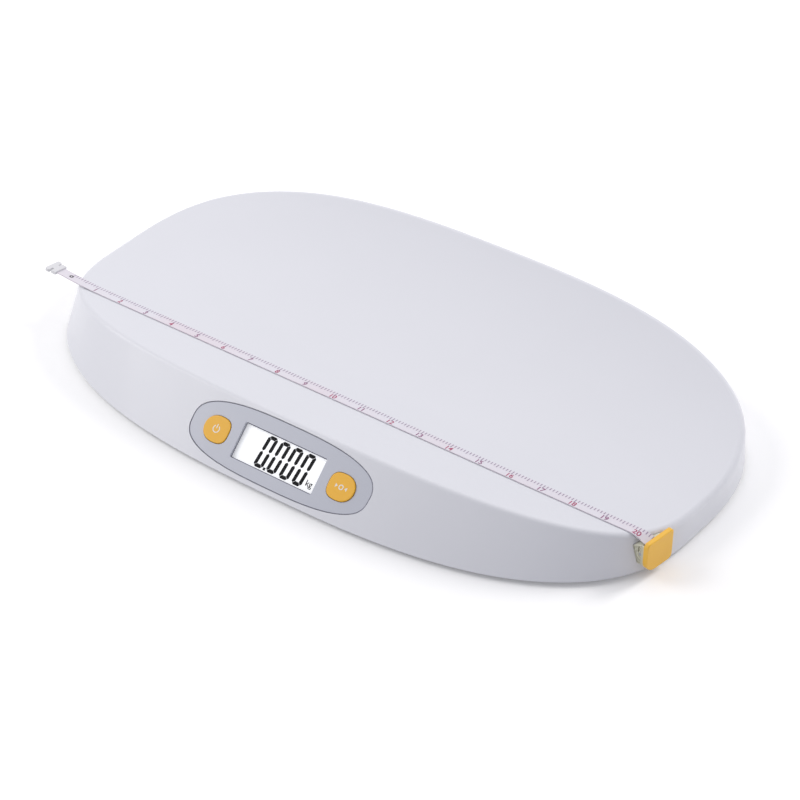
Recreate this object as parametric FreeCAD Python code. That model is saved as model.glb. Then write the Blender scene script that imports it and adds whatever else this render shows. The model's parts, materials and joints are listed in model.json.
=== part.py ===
"""Digital baby weighing scale: trough-shaped tray, sloping front apron with a display panel,
four load-cell feet, a battery bay underneath and a pull-out measuring tape at the right.

Millimetres, +Z up. +X runs along the tray to the tape case, and -Y is the side with the display.
The shapes are drawn round the middle of the body. The saved origin lies on the table plane,
under the middle of the whole length, pulled-out tape included.
"""

import FreeCAD, Part
import math
import os

Vec = FreeCAD.Vector
X_AXIS = Vec(1, 0, 0)
Y_AXIS = Vec(0, 1, 0)
Z_AXIS = Vec(0, 0, 1)

# ---------------------------------------------------------------- body form
HALF_LENGTH = 268.6       # middle of the body to either end
FRONT_DEPTH = 156.3       # middle of the body to the foot of the apron
BACK_DEPTH = 156.3        # middle of the body to the foot of the back wall
COVER_FOOT_Z = 3.5        # lower edge of the cover above the table
SHOULDER_Z = 56.0         # height up to which the side surface is defined
APRON_ANGLE = 42.6        # slope of the front apron against the table
BACK_ANGLE = 76.0         # slope of the back wall against the table
END_LEAN = 3.0            # how far the end walls lean in up to the shoulder
FOOT_POWER = 2.70         # squareness of the outline at the table
RIM_POWER = 2.83          # squareness of the outline at the shoulder
RING_POINTS = 20          # points that guide the outline curve
TRAY_LOW_Z = 24.3         # lowest line of the weighing trough
TRAY_RADIUS = 441.0       # radius of the trough across the body
WALL = 2.5                # wall of the cover
RIM_ROUND = 4.0           # rounding of the tray's rim
TRAY_RIB_DEPTH = 2.0
TRAY_RIB_ROWS = (-75, -25, 25, 75)
TRAY_RIB_COLUMNS = (-160, -80, 0, 80, 160)
TRAY_RIB_REACH = (200, 85)  # half length of the rows and of the columns
RIB_WIDTH = 1.6
FIT_GAP = 0.3             # gap between loosely fitting pieces
SEAT_GAP = 0.05           # play under a piece that lies on a curved seat

# ---------------------------------------------------------------- display panel
PANEL_MID_Z = 21.5        # height of the display's middle on the apron
PANEL_HALF_LENGTH = 78.6
PANEL_HALF_HEIGHT = 23.8
PANEL_RISE = 0.9          # the panel's middle above the display's middle, along the slope
PANEL_POWER = 2.8
PANEL_GAP = 0.35
BEZEL_DROP = 0.3          # bezel face below the apron face
BEZEL_THICK = 2.0
LEDGE_WIDTH = 3.0
LEDGE_THICK = 2.0
DISPLAY_LENGTH = 72.4
DISPLAY_HEIGHT = 27.4
DISPLAY_CORNER = 1.2
WINDOW_MARGIN = 2.0       # window and display glass reach this far behind the bezel
WINDOW_THICK = 1.0
GLASS_THICK = 1.8
BUTTON_X = 55.6           # middle of a button from the middle of the display
BUTTON_LENGTH = 21.6
BUTTON_HEIGHT = 19.4
BUTTON_INNER_POWER = 3.0  # squareness of the outline towards the display
BUTTON_OUTER_POWER = 2.1  # and away from it
BUTTON_GAP = 0.4
BUTTON_PROUD = 0.9        # button face above the bezel face
BUTTON_EDGE_ROUND = 0.6
BUTTON_TRAVEL = 0.8
BUTTON_FLANGE = 1.0       # width and thickness of the flange under the bezel
STEM_RADIUS = 2.2
PLUNGER_RADIUS = 1.6
PLUNGER_LENGTH = 1.4
SWITCH_SIDE = 6.0
SWITCH_HEIGHT = 2.0
BOARD_DEPTH = 8.0         # board face below the apron face
BOARD_THICK = 1.6
BOARD_HALF_LENGTH = 84.0
BOARD_LOW = -11.0         # lower and upper edge of the board along the slope
BOARD_HIGH = 25.0
BOARD_POST_RADIUS = 2.8
BOARD_POST_UPPER = (66.0, 20.5)
BOARD_POST_LOWER = (79.5, -6.0)
BOARD_SCREW_RADIUS = 1.0
BOARD_SCREW_LENGTH = 4.2
BOARD_SCREW_HEAD = 1.3
CHIP_PLACE = (0, 9)
CHIP_SIZE = (18, 16)
CHIP_THICK = 1.6
CHIP_CORNER = 2.0
CAN_COLUMNS = (28, 36)
CAN_Y = 12
CAN_RADIUS = 2.5
CAN_LENGTH = 5.5
SOCKET_PLACES = [
    (-45, 10.5),
    (58, 10.5),
]
SOCKET_SIZE = (12, 5)
SOCKET_HEIGHT = 4.5
FLANGE_DROP = 1.25        # flange below the bezel's back at the middle of the panel
PLUNGER_SHOW = 1.0        # plunger above the switch body

# ---------------------------------------------------------------- base pan
PAN_Z = 4.5               # underside of the pan
PAN_FLOOR = 2.2
PAN_RIM_Z = 8.6
PAN_RIM_WALL = 2.0
PAN_RIB_Z = 10.0
PAN_RIB_ROWS = (-78, -20, 92)
PAN_RIB_COLUMNS = (-120, -60, 60, 120)
PAN_RIB_HALF_LENGTH = 208.0
PAN_RIB_BACK = 118.0
BOSS_Z = 9.0              # where the cover's posts stand on the pan's bosses
BOSS_RADIUS = 5.0
POST_RADIUS = 4.2
SCREW_HEAD_RADIUS = 3.1
SCREW_HEAD_HEIGHT = 1.6
SCREW_SEAT_Z = 7.4
SCREW_SHANK_RADIUS = 1.4
SCREW_LENGTH = 8.0
SCREW_PLACES = [
    (-218, -62),
    (-218, 78),
    (-92, -104),
    (-92, 116),
    (92, -104),
    (92, 116),
    (218, 78),
    (205, -50),
]

# ---------------------------------------------------------------- feet and load cells
FOOT_X = 176.0
FOOT_Y = 90.0
FOOT_RADIUS = 15.0
FOOT_FLANGE = 2.5
FOOT_PLAY = 0.6           # drop of a foot when the scale is lifted
PAD_RADIUS = 13.5
PAD_HEIGHT = 2.0
CUP_Z = 1.3               # lower edge of the foot cup
STEM_SEAT_RADIUS = 4.5
CELL_Z = 9.6              # underside of the load cell plate
CELL_SIDE = 34.0
CELL_THICK = 1.2
CELL_SLOT = 2.0
CELL_TONGUE_WIDTH = 13.0
CELL_FRAME = 4.5
CAP_SIDE = 42.0
CAP_THICK = 2.0
CAP_LEG = 4.5
WELL_GAP = 0.4
WELL_COLLAR = 4.0
FOOT_FLANGE_THICK = 1.4
PAD_BEVEL = 0.6

# ---------------------------------------------------------------- battery bay
BAY_Y = 46.0              # middle of the bay
DOOR_LENGTH = 58.0
DOOR_DEPTH = 50.0
DOOR_THICK = 2.0
DOOR_PIVOT_REACH = 1.0    # pivot behind the door's front edge and above its outer face
DOOR_TAB_X = 15.0
DOOR_TAB_WIDTH = 8.0
DOOR_TAB_REACH = 3.3
DOOR_TAB_THICK = 1.2
DOOR_TAB_ROOM = 5.0       # height of the tab slots, for swinging the door
DOOR_NECK = 1.5           # thickness of the necks that carry the tabs
BAY_WALL = 1.5
CELL_COUNT = 4
AAA_RADIUS = 5.2
AAA_LENGTH = 43.6
AAA_NUB_RADIUS = 1.9
AAA_NUB_LENGTH = 0.9
AAA_PITCH = 11.2
AAA_Z = 7.2               # lower side of the batteries
CONTACT_THICK = 0.5
SPRING_LENGTH = 4.6
SPRING_RADIUS = 3.4
BAY_STOP = 2.4
LATCH_WIDTH = 14.0
LATCH_GAP = 1.0
LATCH_THICK = 1.2
LATCH_RISE = 3.0
THUMB_RECESS = (16.0, 7.0, 0.8)  # length, width and depth
THUMB_PLACE = 8.5         # middle of the thumb recess in front of the door's back edge
CONTACT_INSET = 1.0       # contact plates narrower than the room of a cell, on each side
CONTACT_TRIM = 0.5        # contact plates lower than a cell, at top and bottom
SPRING_WALL = 0.7
SPRING_TAPER = 1.0

# ---------------------------------------------------------------- measuring tape
CASE_X = 265.0            # outer face of the tape case's cover plate
CASE_Y = -62.2
CASE_Z = 17.8
CASE_YAW = -9.5
PLATE_LENGTH = 26.6
PLATE_HEIGHT = 24.8
PLATE_CORNERS = (3.0, 10.0, 4.0, 2.0)  # top and bottom in front, bottom and top at the back
PLATE_DEPTH = 3.6
PLATE_THICK = 1.6
PLATE_SKIRT = 1.0         # wall of the plate's skirt
PLATE_ROUND = 0.8
CASE_RADIUS = 8.0         # round back of the case
CASE_FRONT = 11.3         # reach of the case from the plate's middle, to the front and back
CASE_BACK = 7.0
CASE_WALL = 1.0
CASE_RIB = 0.5
CASE_RIB_PITCH = 2.4
CASE_RIB_COUNT = 3
DRUM_REACH = 7.2          # middle of the round back, behind the plate's outer face
CASE_WINDOW = (1.2, 4.6)  # width and height of the slit in the case's front side
CASE_WINDOW_PLACE = (-9.0, 4.0)  # its middle from the plate's outer face and above its middle
TAPE_SLOT = 3.2
SLOT_BACK = 2.4           # reach of the tape slot behind the plate's middle
SPOOL_REACH = 7.9         # spool axis behind the plate's outer face
SPOOL_FLANGE_RADIUS = 5.6
SPOOL_FLANGE = 0.8
HUB_RADIUS = 2.6
AXLE_RADIUS = 1.2
AXLE_CLEARANCE = 0.05
COIL_RADIUS = 5.0
TAPE_REACH = 280.9        # middle of the body to the free end of the pulled-out tape
TAPE_WIDTH = 9.6
TAPE_THICK = 0.3
TAPE_Y = -65.0            # middle of the pulled-out tape
TAPE_LIFT = 0.25          # tape above the tray
TAPE_CURL_X = -222.0      # where the free end starts to curl up
TAPE_CURL_RADIUS = 500.0
TAPE_BEND_RADIUS = 14.0   # bend over the rim
TAPE_BEND_ANGLE = 20.0
TAPE_BEND_X = (244.5, 250.7)  # where that bend starts, at the tape's front and back edge
TAPE_DIVE_RADIUS = 2.2    # bend down into the case
TAPE_DIVE_X = (258.5, 260.1)  # where the tape is upright, at its front and back edge
TAPE_DIVE_RUN = 0.3
GRIP_SLIT = 3.0           # depth of the slit that takes the tape
GRIP_COLLAR = (4.2, 12.8)  # length and width
GRIP_NECK = (1.4, 6.0)
GRIP_BAR = (4.0, 15.0)
GRIP_BAR_CORNER = 1.2
GRIP_HEIGHT = 2.4
SADDLE = (20.0, 12.0, 1.0, 6.0)  # reach behind the plate's face, and either side of its middle

# ---------------------------------------------------------------- worked-out values
APRON_SIN = math.sin(math.radians(APRON_ANGLE))
APRON_COS = math.cos(math.radians(APRON_ANGLE))
BACK_SIN = math.sin(math.radians(BACK_ANGLE))
BACK_COS = math.cos(math.radians(BACK_ANGLE))
SIDE_RISE = SHOULDER_Z - COVER_FOOT_Z
PANEL_Y = -FRONT_DEPTH + (PANEL_MID_Z - COVER_FOOT_Z) * APRON_COS / APRON_SIN
PANEL_PLACE = FreeCAD.Placement(Vec(0, PANEL_Y, PANEL_MID_Z), FreeCAD.Rotation(X_AXIS, APRON_ANGLE))
CASE_PLACE = FreeCAD.Placement(Vec(CASE_X, CASE_Y, CASE_Z), FreeCAD.Rotation(Z_AXIS, CASE_YAW))
PAN_TOP = PAN_Z + PAN_FLOOR
BEZEL_BACK = BEZEL_DROP + BEZEL_THICK
PAN_INSET = WALL + FIT_GAP
FLANGE_DEPTH = BEZEL_BACK + FLANGE_DROP
WINDOW_DEPTH = BEZEL_BACK + FIT_GAP
GLASS_DEPTH = WINDOW_DEPTH + WINDOW_THICK
BACKLIGHT_DEPTH = GLASS_DEPTH + GLASS_THICK
PLUNGER_TOP = BOARD_DEPTH - SWITCH_HEIGHT - PLUNGER_SHOW
FOOT_FLANGE_Z = PAN_TOP + FOOT_PLAY
DOOR_FRONT = BAY_Y - DOOR_DEPTH / 2
BAY_CEILING_Z = AAA_Z + 2 * AAA_RADIUS + FIT_GAP
BATTERY_SHIFT = (SPRING_LENGTH - AAA_NUB_LENGTH) / 2
CONTACT_X = AAA_LENGTH / 2 + BATTERY_SHIFT + AAA_NUB_LENGTH
WHOLE_MIDDLE_X = (HALF_LENGTH - TAPE_REACH) / 2
CASE_WIDTH = CASE_FRONT + CASE_BACK
COIL_WIDTH = TAPE_WIDTH + FIT_GAP
SPOOL_FRONT = -CASE_FRONT + CASE_WALL + FIT_GAP
SPOOL_BACK = CASE_BACK - CASE_WALL - FIT_GAP
COIL_FRONT = SPOOL_FRONT + SPOOL_FLANGE
COIL_BACK = COIL_FRONT + COIL_WIDTH
GRIP_TAIL = GRIP_COLLAR[0] - GRIP_SLIT + GRIP_NECK[0] + GRIP_BAR[0]
CURL_ANGLE = math.asin((TAPE_REACH - GRIP_TAIL + TAPE_CURL_X) / TAPE_CURL_RADIUS)
TAPE_ROLL = math.degrees(math.asin(TAPE_Y / TRAY_RADIUS))
TAPE_PLACE = FreeCAD.Placement(
    Vec(0, TAPE_Y, TRAY_LOW_Z + TRAY_RADIUS - math.sqrt(TRAY_RADIUS ** 2 - TAPE_Y ** 2) + TAPE_LIFT),
    FreeCAD.Rotation(X_AXIS, TAPE_ROLL),
)
FOOT_PLACES = {
    "front_left": (-FOOT_X, -FOOT_Y),
    "front_right": (FOOT_X, -FOOT_Y),
    "back_left": (-FOOT_X, FOOT_Y),
    "back_right": (FOOT_X, FOOT_Y),
}


# ---------------------------------------------------------------- helpers
def box(x0, x1, y0, y1, z0, z1):
    return Part.makeBox(x1 - x0, y1 - y0, z1 - z0, Vec(x0, y0, z0))


def around(middle, size):
    """Lower and upper limits in X and Y of a rectangle round its middle."""
    (x, y), (length, width) = middle, size
    return x - length / 2, x + length / 2, y - width / 2, y + width / 2


def post(x, y, z0, z1, radius):
    return Part.makeCylinder(radius, z1 - z0, Vec(x, y, z0))


def placed(shape, placement):
    moved = shape.copy()
    moved.Placement = placement.multiply(moved.Placement)
    return moved


def on_apron(shape):
    """Local X along the apron, Y up the slope, Z out of the apron face."""
    return placed(shape, PANEL_PLACE)


def on_case(shape):
    """Local X out of the tape case's cover plate, Y along the spool, Z up."""
    return placed(shape, CASE_PLACE)


def join(shapes):
    return shapes[0].multiFuse(shapes[1:]).removeSplitter()


def closed_curve(points):
    curve = Part.BSplineCurve()
    curve.interpolate(Points=points, PeriodicFlag=True, Parameters=list(range(len(points) + 1)))
    return Part.Wire(curve.toShape())


def ring_points(half_length, front, back, power, z):
    """Points of a squared oval with its own depth in front of and behind the middle."""
    points = []
    for step in range(RING_POINTS):
        turn = 2 * math.pi * step / RING_POINTS
        along, across = math.cos(turn), math.sin(turn)
        reach = (abs(along) ** power + abs(across) ** power) ** (-1 / power)
        depth = back if across > 0 else front
        points.append(Vec(half_length * reach * along, depth * reach * across, z))
    return points


def side_points(inset, z):
    """The body's side surface at height z, moved in by inset along its normal."""
    front = FRONT_DEPTH - inset / APRON_SIN
    back = BACK_DEPTH - inset / BACK_SIN
    foot = ring_points(HALF_LENGTH - inset, front, back, FOOT_POWER, z)
    shoulder = ring_points(
        HALF_LENGTH - END_LEAN - inset,
        front - SIDE_RISE * APRON_COS / APRON_SIN,
        back - SIDE_RISE * BACK_COS / BACK_SIN,
        RIM_POWER,
        z,
    )
    share = (z - COVER_FOOT_Z) / SIDE_RISE
    return [low + (high - low) * share for low, high in zip(foot, shoulder)]


def side_block(inset, low, high):
    """Everything within the side surface between two heights."""
    wires = [closed_curve(side_points(inset, z)) for z in (low, high)]
    return Part.makeLoft(wires, True, True)


def trough(drop):
    """The round hollow above the tray, lowered by drop."""
    start = Vec(-HALF_LENGTH - WALL, 0, TRAY_LOW_Z + TRAY_RADIUS)
    return Part.makeCylinder(TRAY_RADIUS + drop, 2 * (HALF_LENGTH + WALL), start, X_AXIS)


def hull(inset, drop, low):
    """The body's full form, moved in by inset at the sides and by drop under the tray."""
    return side_block(inset, low, SHOULDER_Z).cut(trough(drop))


def apron_sag(x):
    """How far the apron lies behind its own middle at x, along the panel's normal."""
    share = (x / HALF_LENGTH) ** FOOT_POWER
    return FRONT_DEPTH * (1 - (1 - share) ** (1 / FOOT_POWER)) * APRON_SIN


def panel_prism(growth):
    """The panel's outline, grown by growth, as a prism across the apron."""
    half_length = PANEL_HALF_LENGTH + growth
    half_height = PANEL_HALF_HEIGHT + growth
    points = ring_points(half_length, half_height, half_height, PANEL_POWER, -3 * BOARD_DEPTH)
    face = Part.Face(closed_curve(points))
    prism = face.extrude(Vec(0, 0, 4 * BOARD_DEPTH))
    prism.translate(Vec(0, PANEL_RISE, 0))
    return on_apron(prism)


def rounded_prism(x0, x1, y0, y1, z0, z1, radii):
    """Upright prism with its own corner radius at (x0, y0), (x1, y0), (x1, y1) and (x0, y1)."""
    solid = box(x0, x1, y0, y1, z0, z1)
    for (x, y), radius in zip([(x0, y0), (x1, y0), (x1, y1), (x0, y1)], radii):
        edges = [e for e in solid.Edges if upright_at(e, x, y)]
        solid = solid.makeFillet(radius, edges)
    return solid


def upright_at(edge, x, y):
    ends = [v.Point for v in edge.Vertexes]
    if len(ends) != 2 or abs(ends[0].z - ends[1].z) < 1e-6:
        return False
    return all(abs(p.x - x) < 1e-6 and abs(p.y - y) < 1e-6 for p in ends)


def button_prism(side, growth, z0, z1):
    """A button's outline: squarer towards the display, round away from it."""
    half_length = BUTTON_LENGTH / 2 + growth
    half_height = BUTTON_HEIGHT / 2 + growth
    inner, outer = (
        ring_points(half_length, half_height, half_height, power, z0)
        for power in (BUTTON_INNER_POWER, BUTTON_OUTER_POWER)
    )
    points = [near if near.x * side < 0 else far for near, far in zip(inner, outer)]
    prism = Part.Face(closed_curve(points)).extrude(Vec(0, 0, z1 - z0))
    prism.translate(Vec(side * BUTTON_X, 0, 0))
    return prism


# ---------------------------------------------------------------- cover and pan
def rim_edges(solid):
    """Edges where the tray meets the side surface."""
    found = []
    for edge in solid.Edges:
        middle = edge.valueAt((edge.FirstParameter + edge.LastParameter) / 2)
        across = math.hypot(middle.y, middle.z - TRAY_LOW_Z - TRAY_RADIUS)
        ends = {round(v.Point.z, 3) for v in edge.Vertexes}
        if abs(across - TRAY_RADIUS) < 0.05 and min(ends) > COVER_FOOT_Z + WALL:
            found.append(edge)
    return found


def cover_posts():
    """Screw posts under the tray and posts that carry the board, before trimming."""
    posts = [post(x, y, BOSS_Z, SHOULDER_Z, POST_RADIUS) for x, y in SCREW_PLACES]
    for side in (-1, 1):
        for x, y in (BOARD_POST_UPPER, BOARD_POST_LOWER):
            posts.append(on_apron(post(side * x, y, -BOARD_DEPTH, 0, BOARD_POST_RADIUS)))
    return posts


def tray_ribs():
    """Shallow stiffening ribs under the tray."""
    half = RIB_WIDTH / 2
    reach_x, reach_y = TRAY_RIB_REACH
    ribs = [box(-reach_x, reach_x, y - half, y + half, PAN_TOP, SHOULDER_Z) for y in TRAY_RIB_ROWS]
    ribs += [box(x - half, x + half, -reach_y, reach_y, PAN_TOP, SHOULDER_Z) for x in TRAY_RIB_COLUMNS]
    low = hull(-WALL, WALL + TRAY_RIB_DEPTH, COVER_FOOT_Z - WALL)
    return [rib.cut(low) for rib in ribs]


def make_tray_cover():
    outer = hull(0, 0, COVER_FOOT_Z)
    outer = outer.makeFillet(RIM_ROUND, rim_edges(outer))
    block_low = COVER_FOOT_Z - WALL
    pocket = panel_prism(PANEL_GAP).cut(side_block(BEZEL_BACK, block_low, SHOULDER_Z))
    ledge = panel_prism(LEDGE_WIDTH).cut(side_block(BEZEL_BACK + LEDGE_THICK, block_low, SHOULDER_Z))
    hollow = hull(WALL, WALL, block_low).cut(ledge)
    shell = outer.cut(pocket).cut(hollow).cut(panel_prism(-LEDGE_WIDTH))
    inner = hull(WALL / 2, WALL / 2, COVER_FOOT_Z)
    inside = [part.common(inner) for part in cover_posts() + tray_ribs()]
    shell = join([shell] + inside)
    holes = [
        post(x, y, BOSS_Z - 1, SCREW_SEAT_Z + SCREW_LENGTH + 1, SCREW_SHANK_RADIUS)
        for x, y in SCREW_PLACES
    ]
    holes += board_screw_shapes(BOARD_SCREW_RADIUS, BOARD_SCREW_LENGTH + 0.5)
    shell = shell.cut(Part.makeCompound(holes))
    return shell.cut(tape_case_room())


def tape_case_room():
    """Room for the tape case and its cover plate in the end wall."""
    plate = plate_prism(-FIT_GAP, -PLATE_DEPTH - FIT_GAP, PLATE_DEPTH)
    ribs = case_form(FIT_GAP)
    ribs.translate(Vec(0, -CASE_RIB, 0))
    return on_case(join([case_form(FIT_GAP), ribs, plate]))


def foot_wells(radius, low, high):
    return [post(x, y, low, high, radius) for x, y in FOOT_PLACES.values()]


def pan_ribs():
    """Crossed ribs on the pan's floor, kept clear of what stands on it."""
    half = RIB_WIDTH / 2
    reach = PAN_RIB_HALF_LENGTH
    front = PAN_RIB_ROWS[0]
    ribs = [box(-reach, reach, y - half, y + half, PAN_Z, PAN_RIB_Z) for y in PAN_RIB_ROWS]
    ribs += [box(x - half, x + half, front, PAN_RIB_BACK, PAN_Z, PAN_RIB_Z) for x in PAN_RIB_COLUMNS]
    keep_out = [post(x, y, PAN_Z - 1, PAN_RIB_Z + 1, 0.75 * CAP_SIDE) for x, y in FOOT_PLACES.values()]
    return [rib.cut(Part.makeCompound(keep_out)) for rib in ribs]


def panel_room():
    """Room at the pan's front edge for the cover's panel ledge and the display."""
    depth = BEZEL_BACK + LEDGE_THICK + FIT_GAP
    ledge = panel_prism(LEDGE_WIDTH + FIT_GAP).cut(side_block(depth, COVER_FOOT_Z - WALL, SHOULDER_Z))
    return join([ledge, display_block(WINDOW_MARGIN + FIT_GAP, BEZEL_BACK, BOARD_DEPTH - BEZEL_BACK)])


def bay_box(growth, low, high):
    """A box round the battery door's outline."""
    half_x = DOOR_LENGTH / 2 + growth
    half_y = DOOR_DEPTH / 2 + growth
    return box(-half_x, half_x, BAY_Y - half_y, BAY_Y + half_y, low, high)


def make_base_pan():
    floor = side_block(PAN_INSET, PAN_Z, PAN_TOP)
    rim = side_block(PAN_INSET, PAN_Z, PAN_RIM_Z)
    rim = rim.cut(side_block(PAN_INSET + PAN_RIM_WALL, PAN_Z - 1, PAN_RIM_Z + 1))
    bosses = [post(x, y, PAN_Z, BOSS_Z, BOSS_RADIUS) for x, y in SCREW_PLACES]
    collars = foot_wells(FOOT_RADIUS + WELL_COLLAR, PAN_Z, PAN_TOP)
    bay = bay_box(FIT_GAP + BAY_WALL, PAN_Z, BAY_CEILING_Z + BAY_WALL)
    inner, outer, front, back = SADDLE
    saddle = box(CASE_X - inner, CASE_X - outer, CASE_Y - front, CASE_Y + back, PAN_Z, CASE_Z)
    pan = join([floor, rim, bay, saddle] + bosses + collars + pan_ribs())
    stops = [
        box(x0, x0 + BAY_STOP, y0, y0 + BAY_STOP, PAN_TOP - PAN_FLOOR + DOOR_THICK, BAY_CEILING_Z)
        for x0 in (-DOOR_LENGTH / 2 - FIT_GAP, DOOR_LENGTH / 2 + FIT_GAP - BAY_STOP)
        for y0 in (BAY_Y - DOOR_DEPTH / 2 - FIT_GAP, BAY_Y + DOOR_DEPTH / 2 + FIT_GAP - BAY_STOP)
    ]
    hollow = bay_box(FIT_GAP, PAN_Z - 1, BAY_CEILING_Z).cut(Part.makeCompound(stops))
    tab_slots = [
        box(x - DOOR_TAB_WIDTH / 2 - FIT_GAP, x + DOOR_TAB_WIDTH / 2 + FIT_GAP,
            DOOR_FRONT - DOOR_TAB_REACH - FIT_GAP, DOOR_FRONT, PAN_TOP, PAN_TOP + DOOR_TAB_ROOM)
        for x in (-DOOR_TAB_X, DOOR_TAB_X)
    ]
    heads = [post(x, y, PAN_Z - 1, SCREW_SEAT_Z, SCREW_HEAD_RADIUS + FIT_GAP) for x, y in SCREW_PLACES]
    shanks = [post(x, y, PAN_Z - 1, BOSS_Z + 1, SCREW_SHANK_RADIUS + FIT_GAP) for x, y in SCREW_PLACES]
    wells = foot_wells(FOOT_RADIUS + WELL_GAP, PAN_Z - 1, PAN_RIB_Z)
    pan = pan.cut(Part.makeCompound(wells + tab_slots + heads))
    pan = pan.cut(Part.makeCompound(shanks + [hollow]))
    return pan.cut(Part.makeCompound([panel_room(), on_case(case_form(FIT_GAP))]))


def make_case_screws():
    return [
        join([
            post(x, y, SCREW_SEAT_Z - SCREW_HEAD_HEIGHT, SCREW_SEAT_Z, SCREW_HEAD_RADIUS),
            post(x, y, SCREW_SEAT_Z, SCREW_SEAT_Z + SCREW_LENGTH, SCREW_SHANK_RADIUS),
        ])
        for x, y in SCREW_PLACES
    ]


# ---------------------------------------------------------------- display and buttons
def display_block(margin, depth, thick):
    """A flat piece behind the display opening, from depth inwards."""
    half_x = DISPLAY_LENGTH / 2 + margin
    half_y = DISPLAY_HEIGHT / 2 + margin
    return on_apron(box(-half_x, half_x, -half_y, half_y, -depth - thick, -depth))


def make_panel_bezel():
    block_low = COVER_FOOT_Z - WALL
    plate = panel_prism(0).common(side_block(BEZEL_DROP, block_low, SHOULDER_Z))
    plate = plate.cut(side_block(BEZEL_BACK - SEAT_GAP, block_low, SHOULDER_Z))
    half_x = DISPLAY_LENGTH / 2
    half_y = DISPLAY_HEIGHT / 2
    corner = [DISPLAY_CORNER] * 4
    openings = [rounded_prism(-half_x, half_x, -half_y, half_y, -BOARD_DEPTH, BOARD_DEPTH, corner)]
    for side in (-1, 1):
        openings.append(button_prism(side, BUTTON_GAP, -BOARD_DEPTH, BOARD_DEPTH))
    return plate.cut(on_apron(Part.makeCompound(openings)))


def make_button(side):
    face = -BEZEL_DROP - apron_sag(BUTTON_X) + BUTTON_PROUD
    cap = button_prism(side, 0, -FLANGE_DEPTH, face)
    top_edges = [e for e in cap.Edges if all(abs(v.Point.z - face) < 1e-6 for v in e.Vertexes)]
    cap = cap.makeFillet(BUTTON_EDGE_ROUND, top_edges)
    flange = button_prism(side, BUTTON_FLANGE, -FLANGE_DEPTH - BUTTON_FLANGE, -FLANGE_DEPTH)
    stem = post(side * BUTTON_X, 0, -PLUNGER_TOP, -FLANGE_DEPTH, STEM_RADIUS)
    return on_apron(join([cap, flange, stem]))


def make_plunger(side):
    return on_apron(post(side * BUTTON_X, 0, -PLUNGER_TOP - PLUNGER_LENGTH, -PLUNGER_TOP, PLUNGER_RADIUS))


def make_tact_switch(side):
    half = SWITCH_SIDE / 2
    x = side * BUTTON_X
    body = box(x - half, x + half, -half, half, -BOARD_DEPTH, -BOARD_DEPTH + SWITCH_HEIGHT)
    bore = post(x, 0, -BOARD_DEPTH - 1, 0, PLUNGER_RADIUS + FIT_GAP)
    return on_apron(body.cut(bore))


def make_main_board():
    board = box(-BOARD_HALF_LENGTH, BOARD_HALF_LENGTH, BOARD_LOW, BOARD_HIGH,
                -BOARD_DEPTH - BOARD_THICK, -BOARD_DEPTH)
    holes = [
        post(side * x, y, -BOARD_DEPTH - BOARD_THICK - 1, 0, BOARD_SCREW_RADIUS + 0.2)
        for side in (-1, 1)
        for x, y in (BOARD_POST_UPPER, BOARD_POST_LOWER)
    ]
    return on_apron(board.cut(Part.makeCompound(holes)))


def board_screw_shapes(radius, length):
    """Shanks of the screws that hold the board to the cover's posts."""
    return [
        on_apron(post(side * x, y, -BOARD_DEPTH - BOARD_THICK, -BOARD_DEPTH - BOARD_THICK + length, radius))
        for side in (-1, 1)
        for x, y in (BOARD_POST_UPPER, BOARD_POST_LOWER)
    ]


def make_board_screws():
    heads = [
        on_apron(post(side * x, y, -BOARD_DEPTH - BOARD_THICK - BOARD_SCREW_HEAD,
                      -BOARD_DEPTH - BOARD_THICK, 2 * BOARD_SCREW_RADIUS))
        for side in (-1, 1)
        for x, y in (BOARD_POST_UPPER, BOARD_POST_LOWER)
    ]
    shanks = board_screw_shapes(BOARD_SCREW_RADIUS, BOARD_SCREW_LENGTH)
    return [join([head, shank]) for head, shank in zip(heads, shanks)]


def make_board_parts():
    """Chip, capacitors and the plug sockets of the sensor leads on the back of the board."""
    back = -BOARD_DEPTH - BOARD_THICK
    chip = rounded_prism(*around(CHIP_PLACE, CHIP_SIZE), back - CHIP_THICK, back, [CHIP_CORNER] * 4)
    cans = [post(x, CAN_Y, back - CAN_LENGTH, back, CAN_RADIUS) for x in CAN_COLUMNS]
    sockets = [
        box(*around(place, SOCKET_SIZE), back - SOCKET_HEIGHT, back)
        for place in SOCKET_PLACES
    ]
    return [on_apron(part) for part in [chip] + cans + sockets]


# ---------------------------------------------------------------- feet and load cells
def make_foot_cup(x, y):
    cup = post(x, y, CUP_Z, FOOT_FLANGE_Z, FOOT_RADIUS)
    flange = post(x, y, FOOT_FLANGE_Z, FOOT_FLANGE_Z + FOOT_FLANGE_THICK, FOOT_RADIUS + FOOT_FLANGE)
    stem = post(x, y, FOOT_FLANGE_Z + FOOT_FLANGE_THICK, CELL_Z, STEM_SEAT_RADIUS)
    seat = post(x, y, CUP_Z - 1, PAD_HEIGHT, PAD_RADIUS)
    return join([cup, flange, stem]).cut(seat)


def make_foot_pad(x, y):
    pad = post(x, y, 0, PAD_HEIGHT, PAD_RADIUS)
    low_edges = [e for e in pad.Edges if all(abs(v.Point.z) < 1e-6 for v in e.Vertexes)]
    return pad.makeChamfer(PAD_BEVEL, low_edges)


def make_load_cell(x, y):
    """Steel plate whose middle tongue bends when the foot pushes it up."""
    half = CELL_SIDE / 2
    plate = box(-half, half, -half, half, 0, CELL_THICK)
    tongue = CELL_TONGUE_WIDTH / 2
    inner = half - CELL_FRAME
    window = box(-inner, inner, -inner, inner, -1, CELL_THICK + 1)
    arm = box(-tongue, tongue, -inner - 1, inner - CELL_SLOT, -1, CELL_THICK + 1)
    cell = plate.cut(window.cut(arm))
    cell.translate(Vec(x, y, CELL_Z))
    return cell


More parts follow.
